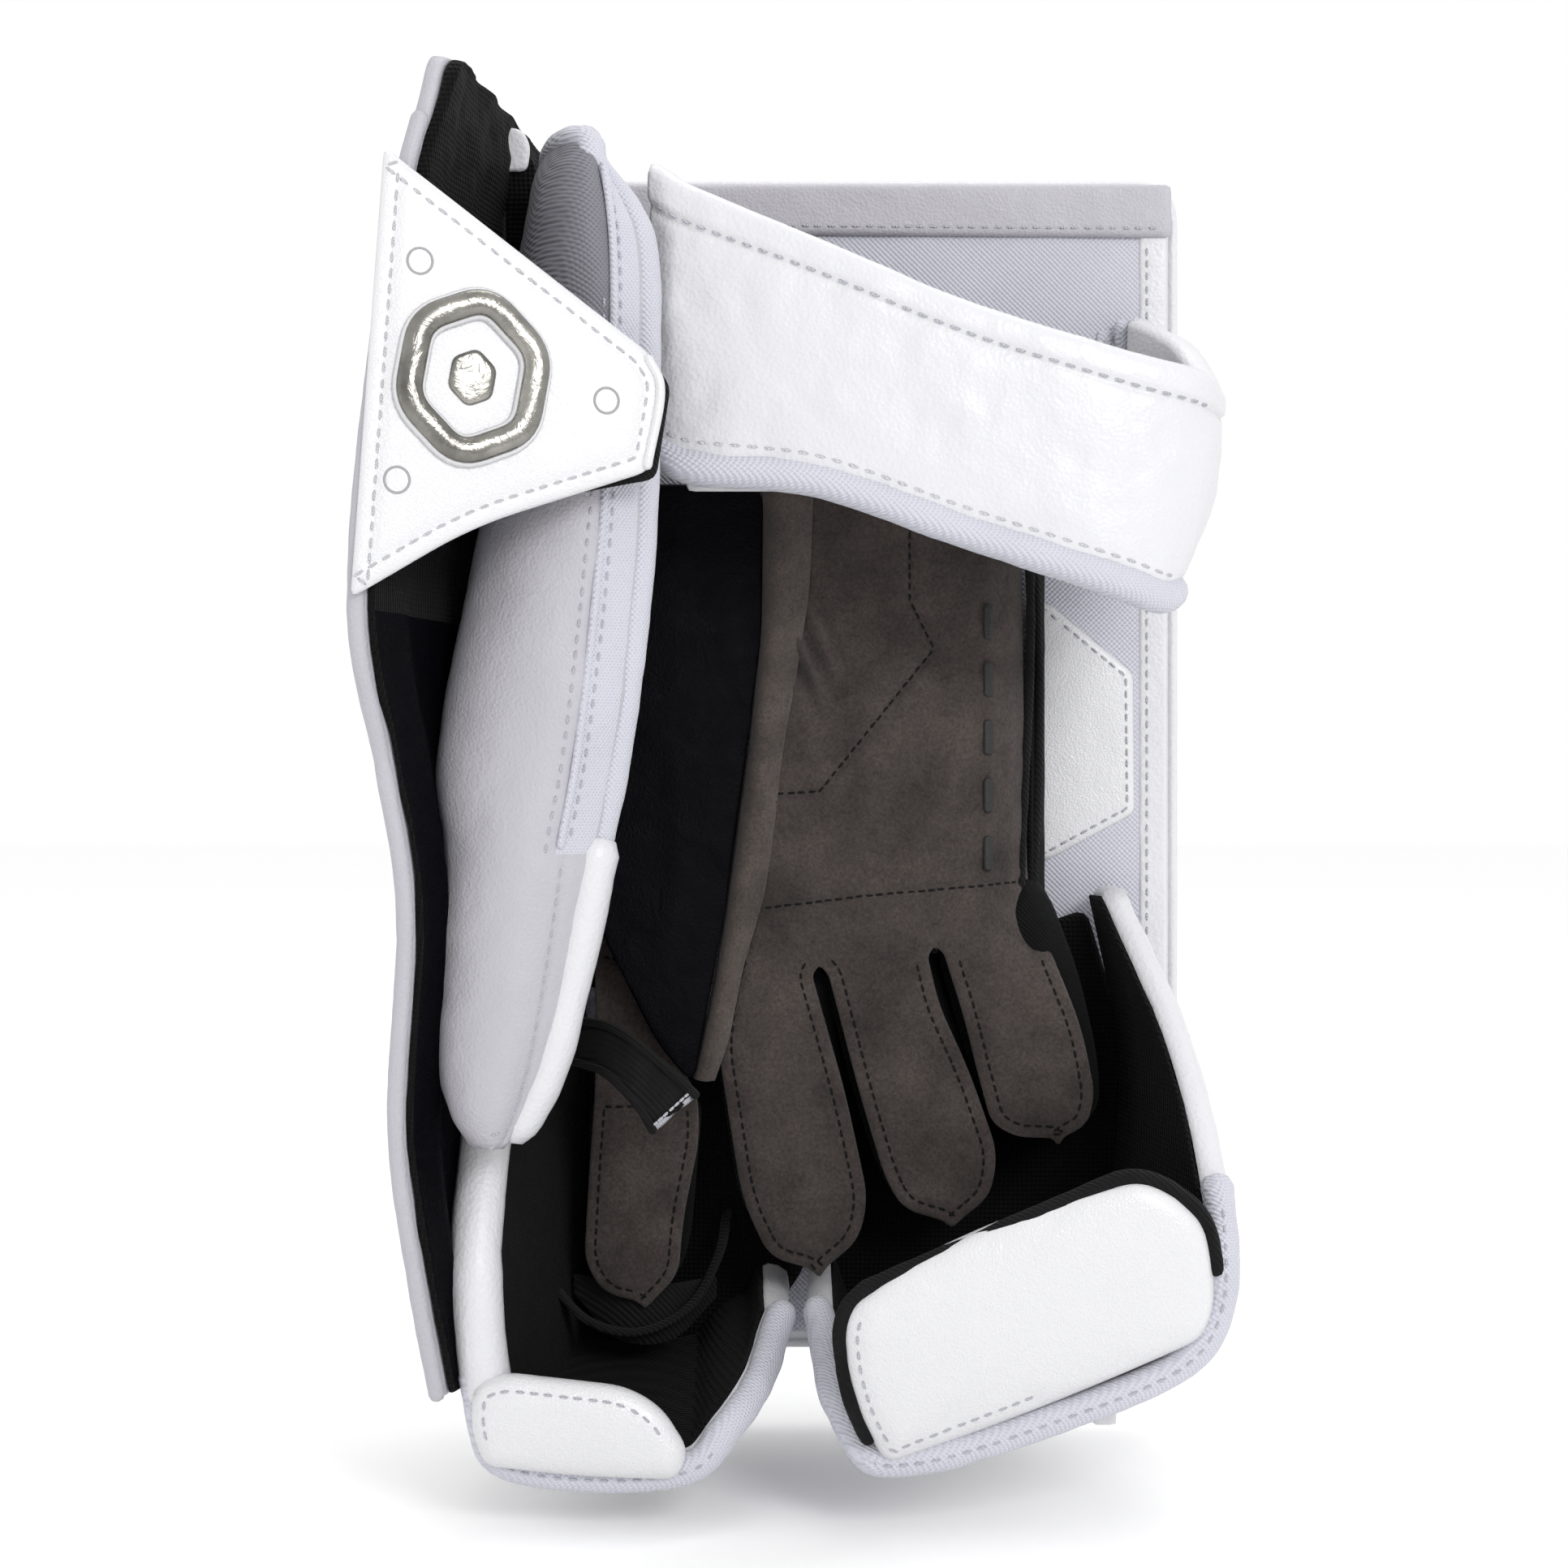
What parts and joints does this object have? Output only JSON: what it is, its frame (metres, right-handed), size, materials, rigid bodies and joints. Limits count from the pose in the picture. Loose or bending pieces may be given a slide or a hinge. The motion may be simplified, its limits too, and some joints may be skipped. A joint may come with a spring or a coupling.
{
  "type": "goalie blocker glove",
  "caption": "Ice hockey goalie blocker for the right hand: padded board with flared side board, wrist guard and strap, closure flap, palm and finger stalls, and finger and thumb guards.",
  "frame": {"origin": "middle of the hand, between the palm and the board, on the board's vertical centre line", "axes": "+X towards the little finger's side, +Y from the palm to the board's striking face, +Z from the fingers to the arm"},
  "size_m": [0.2526, 0.1777, 0.4115],
  "materials": {
    "white_leather": "satin",
    "white_mesh": "matt",
    "black_mesh": "matt",
    "black_lining": "satin",
    "grey_suede": "matt",
    "black_elastic": "matt",
    "foam": "matt",
    "plastic": "matt",
    "silver": "polished"
  },
  "bodies": {
    "blocker_board": {"board_back_panel": "white_mesh", "board_foam_core": "foam", "board_stiffener": "plastic", "board_front_cover": "white_leather", "board_edge_band": "white_leather", "board_top_band": "white_leather", "back_patch": "white_leather", "side_hinge_strip": "white_leather", "strap_anchor": "white_mesh", "hand_back_pad": "black_lining", "palm_panel": "grey_suede", "palm_overlay": "grey_suede", "palm_edge_piping": "black_lining", "thumb_web": "black_lining", "thumb_base_palm": "grey_suede", "thumb_loop": "black_elastic"},
    "side_board": {"side_board_skin": "white_leather", "side_board_core": "foam", "side_board_liner": "black_mesh", "side_board_binding": "white_leather", "side_lining_tab": "black_mesh"},
    "closure_flap": {"flap_panel": "white_leather", "flap_loop_backing": "black_mesh", "flap_emblem": "silver"},
    "wrist_wing": {"wing_cover": "white_leather", "wing_foam": "foam", "wing_liner": "white_mesh", "wing_binding": "white_mesh", "wing_bumper": "white_leather"},
    "wrist_strap": {"strap_leather": "white_leather", "strap_foam": "foam", "strap_liner": "black_mesh", "strap_binding": "white_mesh", "strap_inner_tab": "white_leather"},
    "finger_guard": {"finger_guard_skin": "white_leather", "finger_guard_foam": "foam", "finger_guard_liner": "black_mesh", "finger_guard_lip": "white_leather", "finger_guard_trim": "black_elastic", "finger_guard_binding": "white_mesh", "finger_guard_back": "black_mesh", "guard_pull_tab": "white_leather", "finger_1_palm": "grey_suede", "finger_1_back": "black_lining", "finger_2_palm": "grey_suede", "finger_2_back": "black_lining", "finger_3_palm": "grey_suede", "finger_3_back": "black_lining"},
    "thumb_guard": {"thumb_guard_skin": "white_leather", "thumb_guard_foam": "foam", "thumb_guard_liner": "black_mesh", "thumb_guard_lip": "white_leather", "thumb_guard_binding": "white_mesh", "thumb_guard_back": "black_mesh", "thumb_elastic": "black_elastic", "thumb_stall_palm": "grey_suede", "thumb_stall_back": "black_lining"}
  },
  "joints": [
    {"name": "side_board_hinge", "type": "hinge", "parent": "blocker_board", "child": "side_board", "pos_m": [-0.108, 0.022, 0], "axis": [0, 0, -1], "range_deg": [0, 35]},
    {"name": "flap_hinge", "type": "hinge", "parent": "side_board", "child": "closure_flap", "pos_m": [-0.1395, -0.1145, 0.1], "axis": [-0.0909, -0.0942, -0.9914], "range_deg": [0, 150]},
    {"name": "wing_hinge", "type": "hinge", "parent": "blocker_board", "child": "wrist_wing", "pos_m": [-0.108, 0.022, 0], "axis": [0, 0, -1], "range_deg": [0, 32]},
    {"name": "strap_hinge", "type": "hinge", "parent": "blocker_board", "child": "wrist_strap", "pos_m": [0.0925, 0.018, 0.1], "axis": [0, 0, 1], "range_deg": [0, 90]},
    {"name": "finger_hinge", "type": "hinge", "parent": "blocker_board", "child": "finger_guard", "pos_m": [0.03, -0.012, -0.06], "axis": [-1, 0, 0], "range_deg": [0, 35]},
    {"name": "thumb_hinge", "type": "hinge", "parent": "blocker_board", "child": "thumb_guard", "pos_m": [-0.068, -0.02, -0.098], "axis": [-1, 0, 0], "range_deg": [0, 8]}
  ],
  "couplings": [
    {"joint": "wing_hinge", "follows": "side_board_hinge", "ratio": 0.9}
  ]
}
